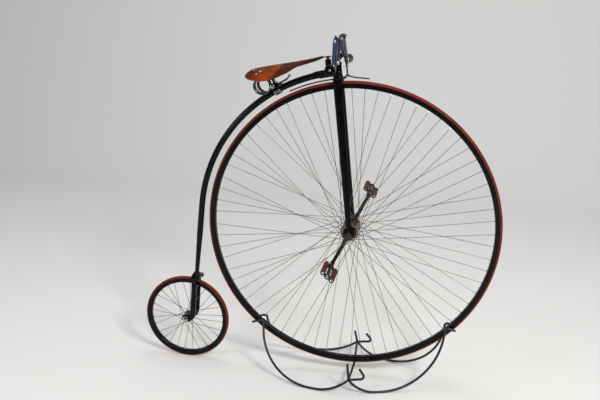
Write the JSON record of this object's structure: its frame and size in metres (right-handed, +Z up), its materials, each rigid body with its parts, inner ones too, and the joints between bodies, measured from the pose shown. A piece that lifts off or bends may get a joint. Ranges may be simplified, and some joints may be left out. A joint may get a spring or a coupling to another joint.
{
  "type": "penny farthing bicycle on a floor stand",
  "caption": "High-wheel bicycle with a large pedalled front wheel, a small trailing wheel, a curved backbone and a bent-rod floor stand; wheels, pedals and steering turn.",
  "frame": {"origin": "on the floor under the middle of the overall length", "axes": "+X forward, the way it is ridden, +Y to the rider's left, +Z up"},
  "size_m": [1.6498, 0.6602, 1.5689],
  "materials": {
    "black_enamel": "gloss",
    "stand_paint": "satin",
    "nickel_plate": "polished",
    "dark_steel": "satin",
    "spoke_steel": "satin",
    "tyre_rubber": "matte",
    "pedal_rubber": "matte",
    "saddle_leather": "polished hide",
    "black_horn": "gloss"
  },
  "bodies": {
    "fork_and_stand": {"fork_blade_right": "black_enamel", "fork_blade_left": "black_enamel", "fork_crown": "black_enamel", "handlebar_lug": "black_enamel", "handlebar": "nickel_plate", "grip_right": "black_horn", "grip_left": "black_horn", "brake_spoon": "dark_steel", "brake_bracket": "dark_steel", "brake_lever": "dark_steel", "brake_link": "dark_steel", "lever_bracket": "dark_steel", "tyre_guard": "black_enamel", "stand_side_right": "stand_paint", "stand_side_left": "stand_paint", "stand_crossbar": "stand_paint"},
    "front_wheel": {"front_tyre": "tyre_rubber", "front_rim": "black_enamel", "front_spokes": "spoke_steel", "front_hub": "nickel_plate", "front_axle": "dark_steel", "crank_right": "dark_steel", "crank_left": "dark_steel", "pedal_pin_right": "dark_steel", "pedal_pin_left": "dark_steel"},
    "pedal_right": {"pedal_frame_right": "dark_steel", "pedal_rubbers_right": "pedal_rubber"},
    "pedal_left": {"pedal_frame_left": "dark_steel", "pedal_rubbers_left": "pedal_rubber"},
    "frame": {"backbone": "black_enamel", "neck": "black_enamel", "rear_fork": "black_enamel", "rear_axle": "nickel_plate", "mounting_step": "dark_steel", "saddle_leather": "saddle_leather", "saddle_strip": "dark_steel", "saddle_rings": "nickel_plate", "saddle_clamp": "nickel_plate", "saddle_plate": "dark_steel"},
    "rear_wheel": {"rear_tyre": "tyre_rubber", "rear_rim": "black_enamel", "rear_spokes": "spoke_steel", "rear_hub": "nickel_plate"}
  },
  "joints": [
    {"name": "steering", "type": "hinge", "parent": "fork_and_stand", "child": "frame", "pos_m": [0.07763, 0, 1.41333], "axis": [-0.1219, 0, 0.9925], "range_deg": [-45, 45]},
    {"name": "front_wheel_spin", "type": "hinge", "parent": "fork_and_stand", "child": "front_wheel", "pos_m": [0.16294, 0, 0.71855], "axis": [0, 1, 0], "continuous": true},
    {"name": "pedal_right_spin", "type": "hinge", "parent": "front_wheel", "child": "pedal_right", "pos_m": [0.09719, -0.21, 0.58373], "axis": [0, 1, 0], "continuous": true},
    {"name": "pedal_left_spin", "type": "hinge", "parent": "front_wheel", "child": "pedal_left", "pos_m": [0.2287, 0.21, 0.85337], "axis": [0, 1, 0], "continuous": true},
    {"name": "rear_wheel_spin", "type": "hinge", "parent": "frame", "child": "rear_wheel", "pos_m": [-0.61694, 0, 0.208], "axis": [0, 1, 0], "continuous": true}
  ]
}
